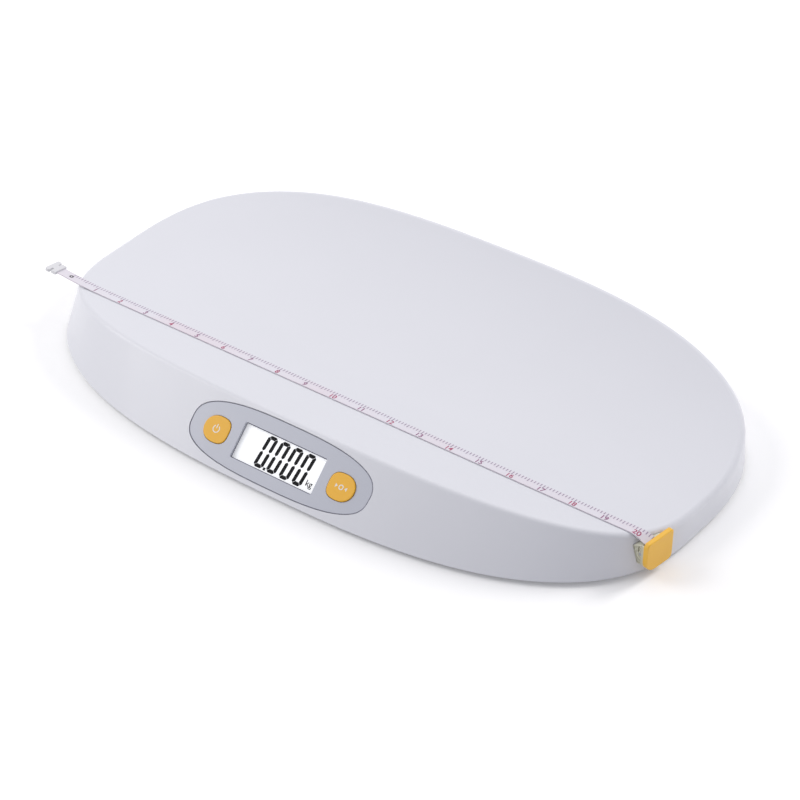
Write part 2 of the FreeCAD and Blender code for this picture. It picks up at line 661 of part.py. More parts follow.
def make_cell_cap(x, y):
    """Plastic frame that presses the load cell's rim down from above."""
    half = CAP_SIDE / 2
    inner = CELL_SIDE / 2 - CELL_FRAME
    low = CELL_Z + CELL_THICK
    cap = box(-half, half, -half, half, low, low + CAP_THICK)
    cap = cap.cut(box(-inner, inner, -inner, inner, low - 1, low + CAP_THICK + 1))
    legs = [
        box(sx * half - max(sx, 0) * CAP_LEG, sx * half + max(-sx, 0) * CAP_LEG,
            sy * half - max(sy, 0) * CAP_LEG, sy * half + max(-sy, 0) * CAP_LEG, PAN_TOP, low)
        for sx in (-1, 1)
        for sy in (-1, 1)
    ]
    shape = join([cap] + legs).cut(box(-half + CAP_LEG, half - CAP_LEG, -half, half, PAN_TOP, low))
    keep = box(-CELL_SIDE / 2 - FIT_GAP, CELL_SIDE / 2 + FIT_GAP,
               -CELL_SIDE / 2 - FIT_GAP, CELL_SIDE / 2 + FIT_GAP, PAN_TOP - 1, low)
    shape = shape.cut(keep)
    shape.translate(Vec(x, y, 0))
    return shape


# ---------------------------------------------------------------- batteries
def battery_rows():
    first = BAY_Y - (CELL_COUNT - 1) * AAA_PITCH / 2
    return [first + n * AAA_PITCH for n in range(CELL_COUNT)]


def make_batteries():
    """Round cells side by side, pointing in turns to either side."""
    cells = []
    for n, y in enumerate(battery_rows()):
        way = 1 if n % 2 == 0 else -1
        axis = Vec(way, 0, 0)
        start = Vec(-way * AAA_LENGTH / 2 + BATTERY_SHIFT * way, y, AAA_Z + AAA_RADIUS)
        can = Part.makeCylinder(AAA_RADIUS, AAA_LENGTH, start, axis)
        nub = Part.makeCylinder(AAA_NUB_RADIUS, AAA_NUB_LENGTH, start + axis * AAA_LENGTH, axis)
        cells.append(join([can, nub]))
    return cells


def make_battery_contacts():
    """Flat contact plates at both ends of the bay."""
    plates = []
    for y in battery_rows():
        for side in (-1, 1):
            x = side * CONTACT_X
            half = AAA_PITCH / 2 - CONTACT_INSET
            plates.append(box(min(x, x + side * CONTACT_THICK), max(x, x + side * CONTACT_THICK),
                              y - half, y + half, AAA_Z + CONTACT_TRIM,
                              AAA_Z + 2 * AAA_RADIUS - CONTACT_TRIM))
    return plates


def make_battery_springs():
    """Coiled contacts behind the flat end of each cell, drawn as tapered sleeves."""
    springs = []
    for n, y in enumerate(battery_rows()):
        way = 1 if n % 2 == 0 else -1
        centre = Vec(-way * CONTACT_X, y, AAA_Z + AAA_RADIUS)
        axis = Vec(way, 0, 0)
        length = CONTACT_X - AAA_LENGTH / 2 + BATTERY_SHIFT
        cone = Part.makeCone(SPRING_RADIUS, SPRING_RADIUS - SPRING_TAPER, length, centre, axis)
        bore = SPRING_RADIUS - SPRING_WALL
        core = Part.makeCone(bore, bore - SPRING_TAPER, length, centre, axis)
        springs.append(cone.cut(core))
    return springs


def make_battery_door():
    """Door that swings on its rounded front edge, with two tabs, a latch and a thumb recess."""
    back = DOOR_FRONT + DOOR_DEPTH
    half = DOOR_LENGTH / 2
    pivot = Vec(-half, DOOR_FRONT + DOOR_PIVOT_REACH, PAN_Z + DOOR_PIVOT_REACH)
    parts = [
        box(-half, half, pivot.y, back, PAN_Z, PAN_Z + DOOR_THICK),
        Part.makeCylinder(DOOR_PIVOT_REACH, DOOR_LENGTH, pivot, X_AXIS),
    ]
    tab_low = PAN_TOP + FIT_GAP
    tab_high = tab_low + DOOR_TAB_THICK
    for x in (-DOOR_TAB_X, DOOR_TAB_X):
        x0, x1 = x - DOOR_TAB_WIDTH / 2, x + DOOR_TAB_WIDTH / 2
        neck_back = DOOR_FRONT + DOOR_NECK
        parts.append(box(x0, x1, DOOR_FRONT, neck_back, pivot.z, tab_high))
        parts.append(box(x0, x1, DOOR_FRONT - DOOR_TAB_REACH, neck_back, tab_low, tab_high))
    latch_y = back - LATCH_GAP
    parts.append(box(-LATCH_WIDTH / 2, LATCH_WIDTH / 2, latch_y - LATCH_THICK, latch_y,
                     PAN_Z, PAN_TOP + LATCH_RISE))
    length, width, depth = THUMB_RECESS
    recess = box(*around((0, back - THUMB_PLACE), (length, width)), PAN_Z - 1, PAN_Z + depth)
    return join(parts).cut(recess)


# ---------------------------------------------------------------- tape case
def case_form(growth, plate_side=-PLATE_THICK):
    """The tape case's form, grown by growth: flat towards the plate, round towards the body."""
    radius = CASE_RADIUS + growth
    low = -CASE_FRONT - growth
    top = Vec(-DRUM_REACH, low, radius)
    bottom = Vec(-DRUM_REACH, low, -radius)
    corners = [Vec(plate_side, low, -radius), Vec(plate_side, low, radius)]
    profile = Part.Wire([
        Part.Arc(top, Vec(-DRUM_REACH - radius, low, 0), bottom).toShape(),
        Part.makeLine(bottom, corners[0]),
        Part.makeLine(corners[0], corners[1]),
        Part.makeLine(corners[1], top),
    ])
    return Part.Face(profile).extrude(Vec(0, CASE_WIDTH + 2 * growth, 0))


def plate_prism(inset, x0, x1):
    """The cover plate's rounded outline as a prism along its normal."""
    half_y = PLATE_LENGTH / 2 - inset
    half_z = PLATE_HEIGHT / 2 - inset
    corners = [corner - inset for corner in PLATE_CORNERS]
    prism = rounded_prism(-half_z, half_z, -half_y, half_y, 0, x1 - x0, corners)
    prism.rotate(Vec(0, 0, 0), Y_AXIS, 90)
    prism.translate(Vec(x0, 0, 0))
    return prism


def case_disc(radius):
    """A thin disc on the case's front side, round the middle of its round back."""
    return Part.makeCylinder(radius, CASE_RIB, Vec(-DRUM_REACH, -CASE_FRONT - CASE_RIB, 0), Y_AXIS)


def make_tape_case():
    """Ivory case with raised half rings on its front side, open towards the plate."""
    front = -CASE_FRONT
    radii = [CASE_RADIUS - n * CASE_RIB_PITCH for n in range(CASE_RIB_COUNT)]
    rings = [case_disc(radius).cut(case_disc(radius - CASE_WALL)) for radius in radii]
    rear = box(-DRUM_REACH - CASE_RADIUS, -DRUM_REACH, front - CASE_RIB, front, -CASE_RADIUS, CASE_RADIUS)
    shell = join([case_form(0)] + [ring.common(rear) for ring in rings]).cut(case_form(-CASE_WALL, 1))
    slot = box(-PLATE_DEPTH - TAPE_SLOT, -PLATE_DEPTH + 1, front + CASE_WALL, SLOT_BACK,
               CASE_RADIUS - 2 * CASE_WALL, CASE_RADIUS + 1)
    axle_hole = spool_ring(AXLE_RADIUS, front - CASE_RIB, CASE_BACK)
    (along, height), (x, z) = CASE_WINDOW, CASE_WINDOW_PLACE
    slit = box(x - along / 2, x + along / 2, front - CASE_WALL, front + 2 * CASE_WALL,
               z - height / 2, z + height / 2)
    skirt = plate_prism(0, -PLATE_DEPTH - FIT_GAP, 0)
    skirt = skirt.cut(plate_prism(PLATE_SKIRT + FIT_GAP, -PLATE_DEPTH - 1, 1))
    shell = shell.cut(Part.makeCompound([slot, axle_hole, slit]))
    return on_case(shell.cut(skirt))


def make_tape_cover():
    """Yellow plate with a shallow skirt that closes the case."""
    plate = plate_prism(0, -PLATE_DEPTH, 0)
    face_edges = [e for e in plate.Edges if all(abs(v.Point.x) < 1e-6 for v in e.Vertexes)]
    plate = plate.makeFillet(PLATE_ROUND, face_edges)
    return on_case(plate.cut(plate_prism(PLATE_SKIRT, -PLATE_DEPTH - 1, -PLATE_THICK)))


def spool_ring(radius, y0, y1):
    return Part.makeCylinder(radius, y1 - y0, Vec(-SPOOL_REACH, y0, 0), Y_AXIS)


def make_tape_spool():
    hub = spool_ring(HUB_RADIUS, SPOOL_FRONT, SPOOL_BACK)
    flanges = [
        spool_ring(SPOOL_FLANGE_RADIUS, SPOOL_FRONT, COIL_FRONT),
        spool_ring(SPOOL_FLANGE_RADIUS, COIL_BACK, COIL_BACK + SPOOL_FLANGE),
    ]
    bore = spool_ring(AXLE_RADIUS + AXLE_CLEARANCE, SPOOL_FRONT - 1, SPOOL_BACK + 1)
    return on_case(join([hub] + flanges).cut(bore))


def make_tape_coil():
    """What is still wound up of the tape."""
    ring = spool_ring(COIL_RADIUS, COIL_FRONT, COIL_BACK)
    return on_case(ring.cut(spool_ring(HUB_RADIUS, COIL_FRONT, COIL_BACK)))


def make_tape_spring():
    """Flat return spring in the other part of the case."""
    low = COIL_BACK + SPOOL_FLANGE + FIT_GAP
    ring = spool_ring(SPOOL_FLANGE_RADIUS, low, SPOOL_BACK)
    return on_case(ring.cut(spool_ring(HUB_RADIUS + FIT_GAP, low, SPOOL_BACK)))


def make_tape_axle():
    return on_case(spool_ring(AXLE_RADIUS, -CASE_FRONT, CASE_BACK))


def arc_points(centre, radius, start, end):
    """Three points of an arc in the XZ plane, by angles from straight up."""
    return [
        centre + Vec(math.sin(angle), 0, math.cos(angle)) * radius
        for angle in (start, (start + end) / 2, end)
    ]


def tape_profile(y, offset, bend_x, dive_x):
    """Side view of the tape along one of its edges, shifted outwards by offset."""
    bend = math.radians(TAPE_BEND_ANGLE)
    down = math.pi / 2
    curl = arc_points(Vec(TAPE_CURL_X, y, TAPE_CURL_RADIUS), TAPE_CURL_RADIUS - offset,
                      math.pi + CURL_ANGLE, math.pi)
    first = arc_points(Vec(bend_x, y, -TAPE_BEND_RADIUS), TAPE_BEND_RADIUS + offset, 0, bend)
    radius = TAPE_DIVE_RADIUS + offset
    centre_x = dive_x - TAPE_DIVE_RADIUS
    run = centre_x - bend_x + (TAPE_DIVE_RADIUS - TAPE_BEND_RADIUS) * math.sin(bend)
    foot = first[2] + Vec(1, 0, -math.tan(bend)) * run
    centre = foot - Vec(math.sin(bend), 0, math.cos(bend)) * radius
    second = arc_points(centre, radius, bend, down)
    return Part.Wire([
        Part.Arc(*curl).toShape(),
        Part.makeLine(curl[2], first[0]),
        Part.Arc(*first).toShape(),
        Part.makeLine(first[2], second[0]),
        Part.Arc(*second).toShape(),
        Part.makeLine(second[2], second[2] - Vec(0, 0, TAPE_DIVE_RUN)),
    ])


def edge_face(y, bend_x, dive_x):
    """The tape's section along one of its edges."""
    low = tape_profile(y, 0, bend_x, dive_x)
    high = tape_profile(y, TAPE_THICK, bend_x, dive_x)
    starts = [wire.OrderedVertexes[0].Point for wire in (low, high)]
    ends = [wire.OrderedVertexes[-1].Point for wire in (low, high)]
    caps = [Part.makeLine(*starts), Part.makeLine(*ends)]
    return Part.Wire(Part.__sortEdges__(low.Edges + high.Edges + caps))


def make_tape_strip():
    """The tape lies along the tray and bends obliquely over the rim, down into its case."""
    front, back = (
        edge_face(y, bend_x, dive_x)
        for y, bend_x, dive_x in zip((-TAPE_WIDTH / 2, TAPE_WIDTH / 2), TAPE_BEND_X, TAPE_DIVE_X)
    )
    return placed(Part.makeLoft([front, back], True, True), TAPE_PLACE)


def make_tape_grip():
    """T-shaped pull at the free end, slotted over the tape."""
    low = (TAPE_THICK - GRIP_HEIGHT) / 2
    high = low + GRIP_HEIGHT
    collar_end = GRIP_SLIT - GRIP_COLLAR[0]
    neck_end = collar_end - GRIP_NECK[0]
    bar_end = neck_end - GRIP_BAR[0]
    half = GRIP_BAR[1] / 2
    collar = box(collar_end, GRIP_SLIT, -GRIP_COLLAR[1] / 2, GRIP_COLLAR[1] / 2, low, high)
    neck = box(neck_end, collar_end, -GRIP_NECK[1] / 2, GRIP_NECK[1] / 2, low, high)
    bar = rounded_prism(bar_end, neck_end, -half, half, low, high, [GRIP_BAR_CORNER] * 4)
    slit = box(0, GRIP_SLIT + 1, -TAPE_WIDTH / 2, TAPE_WIDTH / 2, -SEAT_GAP, TAPE_THICK + SEAT_GAP)
    tilt = FreeCAD.Rotation(Y_AXIS, math.degrees(CURL_ANGLE))
    grip = placed(join([collar, neck, bar]).cut(slit), FreeCAD.Placement(tape_free_end(), tilt))
    return placed(grip, TAPE_PLACE)


def tape_free_end():
    """Where the curled tape ends inside its grip."""
    reach = TAPE_CURL_RADIUS * math.sin(CURL_ANGLE)
    rise = TAPE_CURL_RADIUS * (1 - math.cos(CURL_ANGLE))
    return Vec(TAPE_CURL_X - reach, 0, rise)


# ---------------------------------------------------------------- output
def save(name, shapes):
    solids = []
    for shape in shapes if isinstance(shapes, list) else [shapes]:
        solids.extend(shape.Solids)
    whole = solids[0] if len(solids) == 1 else Part.makeCompound(solids)
    whole = placed(whole, FreeCAD.Placement(Vec(-WHOLE_MIDDLE_X, 0, 0), FreeCAD.Rotation()))
    whole.exportStep("parts/" + name + ".step")


os.makedirs("parts", exist_ok=True)
save("tray_cover", make_tray_cover())
save("base_pan", make_base_pan())
save("case_screws", make_case_screws())
save("panel_bezel", make_panel_bezel())
save("display_window", display_block(WINDOW_MARGIN, WINDOW_DEPTH, WINDOW_THICK))
save("display_glass", display_block(WINDOW_MARGIN, GLASS_DEPTH, GLASS_THICK))
save("backlight_panel", display_block(0, BACKLIGHT_DEPTH, BOARD_DEPTH - BACKLIGHT_DEPTH))
save("main_board", make_main_board())
save("board_parts", make_board_parts())
save("board_screws", make_board_screws())
for side_name, side in (("left", -1), ("right", 1)):
    save("button_" + side_name, make_button(side))
    save("switch_plunger_" + side_name, make_plunger(side))
    save("switch_" + side_name, make_tact_switch(side))
for corner_name, (foot_x, foot_y) in FOOT_PLACES.items():
    save("foot_cup_" + corner_name, make_foot_cup(foot_x, foot_y))
    save("foot_pad_" + corner_name, make_foot_pad(foot_x, foot_y))
    save("load_cell_" + corner_name, make_load_cell(foot_x, foot_y))
    save("cell_cap_" + corner_name, make_cell_cap(foot_x, foot_y))
save("batteries", make_batteries())
save("battery_contacts", make_battery_contacts())
save("battery_springs", make_battery_springs())
save("battery_door", make_battery_door())
save("tape_case", make_tape_case())
save("tape_cover", make_tape_cover())
save("tape_spool", make_tape_spool())
save("tape_coil", make_tape_coil())
save("tape_spring", make_tape_spring())
save("tape_axle", make_tape_axle())
save("tape_strip", make_tape_strip())
save("tape_grip", make_tape_grip())
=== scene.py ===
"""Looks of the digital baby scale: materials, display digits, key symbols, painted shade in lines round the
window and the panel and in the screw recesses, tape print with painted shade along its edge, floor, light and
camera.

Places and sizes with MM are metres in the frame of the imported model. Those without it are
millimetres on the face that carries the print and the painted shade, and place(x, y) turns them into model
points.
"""

import bmesh
import bpy
import json
import math
from mathutils import Matrix, Vector
from mathutils.bvhtree import BVHTree


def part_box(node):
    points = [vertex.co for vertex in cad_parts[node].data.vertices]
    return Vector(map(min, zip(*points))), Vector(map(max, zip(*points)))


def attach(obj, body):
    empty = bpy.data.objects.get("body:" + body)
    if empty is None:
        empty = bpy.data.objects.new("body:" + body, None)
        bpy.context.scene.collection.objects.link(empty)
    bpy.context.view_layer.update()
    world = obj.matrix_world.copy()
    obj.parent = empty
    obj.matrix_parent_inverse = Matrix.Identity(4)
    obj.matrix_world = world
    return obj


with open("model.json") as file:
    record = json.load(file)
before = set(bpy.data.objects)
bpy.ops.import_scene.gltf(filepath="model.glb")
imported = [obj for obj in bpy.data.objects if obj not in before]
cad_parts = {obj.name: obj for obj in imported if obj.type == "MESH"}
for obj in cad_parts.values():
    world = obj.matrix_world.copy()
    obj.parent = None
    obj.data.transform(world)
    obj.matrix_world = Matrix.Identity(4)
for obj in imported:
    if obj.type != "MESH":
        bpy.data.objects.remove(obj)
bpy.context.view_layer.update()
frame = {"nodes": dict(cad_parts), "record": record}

MM = 0.001

# ---------------------------------------------------------------- camera
IMAGE_PIXELS = 800                  # width of the square image
FOCAL_PIXELS = 2231.0               # focal length in its pixels
SENSOR_WIDTH = 36.0                 # millimetres
CAMERA_AZIMUTH = math.radians(36.10)
CAMERA_ELEVATION = math.radians(37.13)
CAMERA_DISTANCE = 1644.4 * MM
CAMERA_TARGET = Vector((19.2, -9.8, 0.0)) * MM


def add_camera():
    back = Vector((
        math.sin(CAMERA_AZIMUTH) * math.cos(CAMERA_ELEVATION),
        -math.cos(CAMERA_AZIMUTH) * math.cos(CAMERA_ELEVATION),
        math.sin(CAMERA_ELEVATION),
    ))
    data = bpy.data.cameras.new("camera")
    data.sensor_width = SENSOR_WIDTH
    data.lens = FOCAL_PIXELS * SENSOR_WIDTH / IMAGE_PIXELS
    camera = bpy.data.objects.new("camera", data)
    camera.location = CAMERA_TARGET + back * CAMERA_DISTANCE
    camera.rotation_euler = (-back).to_track_quat("-Z", "Y").to_euler()
    bpy.context.scene.collection.objects.link(camera)
    bpy.context.scene.camera = camera


# ---------------------------------------------------------------- sizes that follow the part
BODY_MIDDLE_X = 6.15 * MM           # middle of the body in the frame's X
APRON_ANGLE = math.radians(42.6)
WINDOW_MIDDLE_DEPTH = 3.1 * MM      # middle of the window behind the apron's face
WINDOW_HALF_THICK = 0.5 * MM
BUTTON_X = 55.6 * MM                # each key to the side of the display's middle
TRAY_LOW_Z = 24.3 * MM              # lowest line of the trough
TRAY_RADIUS = 441 * MM
TAPE_Y = -65.0 * MM
TAPE_LIFT = 0.25 * MM               # gap between the trough and the tape
TAPE_THICK = 0.3 * MM
TAPE_WIDTH = 9.6 * MM
TAPE_START = -271.0 * MM            # where the tape leaves its grip, along the tape
TAPE_END = 255.0 * MM               # where its print ends
TAPE_CURL_X = -222.0 * MM           # where its free end starts to curl up
TAPE_CURL_RADIUS = 500.0 * MM
TAPE_BEND_X = (244.5 * MM, 250.7 * MM)  # where it bends over the rim, at its front and back edge
TAPE_BEND_RADIUS = 14.0 * MM
TAPE_BEND_ANGLE = math.radians(20.0)
INCH = 25.4 * MM
LAST_INCH = 20
LAST_INCH_X = 248.8 * MM            # mark of the last inch, along the tape
PRINT_AND_SHADE_LIFT = 0.03 * MM              # ink and painted shade above the surface that carries it
TAPE_PRINT_AND_SHADE_LIFT = 0.08 * MM         # more on the tape, whose curl has flat facets


# ---------------------------------------------------------------- mesh helpers
def new_object(name, mesh, material, body):
    """A piece of the dressed model that rides on one body of the frame."""
    mesh.materials.append(material)
    piece = bpy.data.objects.new(name, mesh)
    bpy.context.scene.collection.objects.link(piece)
    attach(piece, body)


def anticlockwise(outline):
    """The outline's points in the order that makes its face look out of the surface."""
    ends = zip(outline, outline[1:] + outline[:1])
    twice_area = sum(x0 * y1 - x1 * y0 for (x0, y0), (x1, y1) in ends)
    return outline if twice_area > 0 else outline[::-1]


def polygons_mesh(name, outlines, place):
    """Flat polygons given as lists of (x, y); place(x, y) turns each point into a 3-D one."""
    mesh = bpy.data.meshes.new(name)
    shape = bmesh.new()
    for outline in outlines:
        shape.faces.new([shape.verts.new(place(x, y)) for x, y in anticlockwise(outline)])
    bmesh.ops.triangulate(shape, faces=shape.faces)
    shape.to_mesh(mesh)
    shape.free()
    return mesh


def bar(x0, y0, x1, y1):
    """Outline of a level rectangle between two corners."""
    return [(x0, y0), (x1, y0), (x1, y1), (x0, y1)]


def ring_band(radius, width, start, end, steps):
    """A stretch of a flat ring as four-sided pieces; radius is its outer one."""
    pieces = []
    for step in range(steps):
        turns = [start + (end - start) * (step + more) / steps for more in (0, 1)]
        outer = [(radius * math.cos(t), radius * math.sin(t)) for t in turns]
        inner = [((radius - width) * math.cos(t), (radius - width) * math.sin(t)) for t in turns]
        pieces.append([outer[0], outer[1], inner[1], inner[0]])
    return pieces


WELD = 0.001 * MM                   # corners nearer than this are one


def welded_shape(node, turn=Matrix()):
    """A node's mesh, turned by a matrix, with the corners that its surfaces share made one."""
    shape = bmesh.new()
    shape.from_mesh(frame["nodes"][node].data)
    bmesh.ops.transform(shape, matrix=turn, verts=shape.verts)
    bmesh.ops.remove_doubles(shape, verts=shape.verts, dist=WELD)
    shape.normal_update()
    return shape


LETTER_WEIGHT = 0.012               # outward offset of a letter's outline as a share of its size


def text_outline_mesh(body, size):
    """Filled letters in the XY plane, their middle at the origin."""
    curve = bpy.data.curves.new("letters", "FONT")
    curve.body = body
    curve.size = size
    curve.offset = LETTER_WEIGHT * size
    curve.align_x = "CENTER"
    curve.align_y = "CENTER"
    holder = bpy.data.objects.new("letters", curve)
    bpy.context.scene.collection.objects.link(holder)
    mesh = bpy.data.meshes.new_from_object(holder)
    bpy.data.objects.remove(holder)
    bpy.data.curves.remove(curve)
    return mesh


def placed_texts_mesh(name, texts, place):
    """One mesh of several texts, each given as (body, size, x, y), placed by place(x, y)."""
    shape = bmesh.new()
    for body, size, x, y in texts:
        letters = text_outline_mesh(body, size)
        first = len(shape.verts)
        shape.from_mesh(letters)
        shape.verts.ensure_lookup_table()
        for vertex in shape.verts[first:]:
            vertex.co = place(x + vertex.co.x, y + vertex.co.y)
        bpy.data.meshes.remove(letters)
    mesh = bpy.data.meshes.new(name)
    shape.to_mesh(mesh)
    shape.free()
    return mesh


# ---------------------------------------------------------------- material helpers
# The scale of a noise is in patches per metre: 14 makes patches about 70 mm wide, 900 about 1 mm.
NOISE_LOW = 0.3                     # most of a noise's values lie between these two
NOISE_HIGH = 0.7


def new_material(name):
    material = bpy.data.materials.new(name)
    material.use_nodes = True
    nodes = material.node_tree.nodes
    return material, nodes, material.node_tree.links, nodes["Principled BSDF"]


def noise(nodes, links, scale, detail):
    where = nodes.new("ShaderNodeTexCoord")
    texture = nodes.new("ShaderNodeTexNoise")
    texture.inputs["Scale"].default_value = scale
    texture.inputs["Detail"].default_value = detail
    links.new(where.outputs["Object"], texture.inputs["Vector"])
    return texture.outputs["Fac"]


def mapped(nodes, links, source, ends, results):
    """Turns the values between two ends into those between two results."""
    spread = nodes.new("ShaderNodeMapRange")
    spread.inputs["From Min"].default_value = ends[0]
    spread.inputs["From Max"].default_value = ends[1]
    spread.inputs["To Min"].default_value = results[0]
    spread.inputs["To Max"].default_value = results[1]
    links.new(source, spread.inputs["Value"])
    return spread.outputs["Result"]


def span(nodes, links, source, low, high):
    """Spreads a noise between two values."""
    return mapped(nodes, links, source, (NOISE_LOW, NOISE_HIGH), (low, high))


def tinted(nodes, links, source, low, high):
    """Spreads a noise between two colours."""
    ramp = nodes.new("ShaderNodeValToRGB")
    ramp.color_ramp.elements[0].position = NOISE_LOW
    ramp.color_ramp.elements[0].color = (*low, 1)
    ramp.color_ramp.elements[1].position = NOISE_HIGH
    ramp.color_ramp.elements[1].color = (*high, 1)
    links.new(source, ramp.inputs["Fac"])
    return ramp.outputs["Color"]


def bumped(nodes, links, source, shader, depth, strength):
    bump = nodes.new("ShaderNodeBump")
    bump.inputs["Distance"].default_value = depth
    bump.inputs["Strength"].default_value = strength
    links.new(source, bump.inputs["Height"])
    links.new(bump.outputs["Normal"], shader.inputs["Normal"])


def seen_rays(nodes, links):
    """One for rays that show the background: to the camera, in a reflection or through a sheet."""
    rays = nodes.new("ShaderNodeLightPath")
    result = rays.outputs["Is Camera Ray"]
    for kind in ("Is Glossy Ray", "Is Transmission Ray"):
        either = nodes.new("ShaderNodeMath")
        either.operation = "MAXIMUM"
        links.new(result, either.inputs[0])
        links.new(rays.outputs[kind], either.inputs[1])
        result = either.outputs["Value"]
    return result


# ---------------------------------------------------------------- materials
FLOW_DARKENING = 3                  # flow marks darken by this many times what they lighten
GLOSS_SPREAD = 0.05                 # roughness varies by this share both ways
GRAIN_STRENGTH = 0.25
COAT_ROUGHNESS = 0.08


def moulded(name, colour, roughness, spread=0.03, grain=900, depth=0.02 * MM, coat=0.0):
    """Moulded plastic: faint flow marks in the colour, uneven gloss and a fine grain."""
    material, nodes, links, shader = new_material(name)
    flow = noise(nodes, links, scale=14, detail=2)
    dark = tuple(c * (1 - spread) for c in colour)
    pale = tuple(min(1, c * (1 + spread / FLOW_DARKENING)) for c in colour)
    links.new(tinted(nodes, links, flow, dark, pale), shader.inputs["Base Color"])
    handled = noise(nodes, links, scale=40, detail=4)
    gloss = span(nodes, links, handled, roughness * (1 - GLOSS_SPREAD), roughness * (1 + GLOSS_SPREAD))
    links.new(gloss, shader.inputs["Roughness"])
    fine = noise(nodes, links, scale=grain, detail=2)
    bumped(nodes, links, fine, shader, depth, GRAIN_STRENGTH)
    shader.inputs["Coat Weight"].default_value = coat
    shader.inputs["Coat Roughness"].default_value = COAT_ROUGHNESS
    return material


MARK_SCALE = 600                    # rolling marks, before they are squeezed
MARK_DARK = 0.86                    # colour at the darkest marks as a share of the metal's own
MARK_GLOSS_SPREAD = 0.3             # roughness varies by this share both ways
MARK_DEPTH = 0.02 * MM
MARK_STRENGTH = 0.3


def metal(name, colour, roughness, squeeze):
    """Rolled or plated metal with fine marks, squeezed more along some axes than others."""
    material, nodes, links, shader = new_material(name)
    where = nodes.new("ShaderNodeTexCoord")
    mapping = nodes.new("ShaderNodeMapping")
    mapping.inputs["Scale"].default_value = squeeze
    lines = nodes.new("ShaderNodeTexNoise")
    lines.inputs["Scale"].default_value = MARK_SCALE
    lines.inputs["Detail"].default_value = 4
    links.new(where.outputs["Object"], mapping.inputs["Vector"])
    links.new(mapping.outputs["Vector"], lines.inputs["Vector"])
    marks = lines.outputs["Fac"]
    dark = tuple(c * MARK_DARK for c in colour)
    links.new(tinted(nodes, links, marks, dark, colour), shader.inputs["Base Color"])
    low = roughness * (1 - MARK_GLOSS_SPREAD)
    high = roughness * (1 + MARK_GLOSS_SPREAD)
    links.new(span(nodes, links, marks, low, high), shader.inputs["Roughness"])
    bumped(nodes, links, marks, shader, MARK_DEPTH, MARK_STRENGTH)
    shader.inputs["Metallic"].default_value = 1
    return material


def clear_window():
    """Clear sheet: nearly all see-through, with faint smears in its gloss."""
    material, nodes, links, shader = new_material("clear_window")
    smears = noise(nodes, links, scale=60, detail=3)
    links.new(span(nodes, links, smears, low=0.03, high=0.1), shader.inputs["Roughness"])
    shader.inputs["Base Color"].default_value = (0.9, 0.92, 0.93, 1)
    shader.inputs["Alpha"].default_value = 0.015
    shader.inputs["Specular IOR Level"].default_value = 0.12
    return material


def display_white():
    """Lit liquid-crystal cell: nearly white with a weak cloudiness."""
    material, nodes, links, shader = new_material("display_white")
    cloud = noise(nodes, links, scale=30, detail=2)
    pale = tinted(nodes, links, cloud, low=(0.88, 0.89, 0.90), high=(0.93, 0.94, 0.95))
    links.new(pale, shader.inputs["Base Color"])
    links.new(pale, shader.inputs["Emission Color"])
    shader.inputs["Emission Strength"].default_value = 0.31
    shader.inputs["Roughness"].default_value = 0.35
    return material


def tape_film():
    """Milky tape film with pink tints that come and go along it."""
    material, nodes, links, shader = new_material("tape_film")
    drift = noise(nodes, links, scale=22, detail=2)
    tint = tinted(nodes, links, drift, low=(0.715, 0.645, 0.70), high=(0.715, 0.705, 0.76))
    links.new(tint, shader.inputs["Base Color"])
    fibres = noise(nodes, links, scale=700, detail=3)
    links.new(span(nodes, links, fibres, low=0.3, high=0.45), shader.inputs["Roughness"])
    bumped(nodes, links, fibres, shader, depth=0.01 * MM, strength=0.3)
    return material


def battery_sleeve():
    """Dark printed sleeve of a battery, with scuffs in its colour and gloss."""
    material, nodes, links, shader = new_material("battery_sleeve")
    scuffs = noise(nodes, links, scale=120, detail=4)
    tint = tinted(nodes, links, scuffs, low=(0.03, 0.035, 0.05), high=(0.05, 0.055, 0.075))
    links.new(tint, shader.inputs["Base Color"])
    links.new(span(nodes, links, scuffs, low=0.25, high=0.4), shader.inputs["Roughness"])
    return material


GROUND_TONE = 0.8                   # what shows through where the ink is thin


def ink(name, colour, fade=0.15):
    """Printed ink, also used for painted shade; fade is how far its thinnest places go towards the ground."""
    material, nodes, links, shader = new_material(name)
    thin = noise(nodes, links, scale=900, detail=3)
    pale = tuple(c + (GROUND_TONE - c) * fade for c in colour)
    links.new(tinted(nodes, links, thin, colour, pale), shader.inputs["Base Color"])
    shader.inputs["Roughness"].default_value = 0.5
    shader.inputs["Specular IOR Level"].default_value = 0.05
    return material


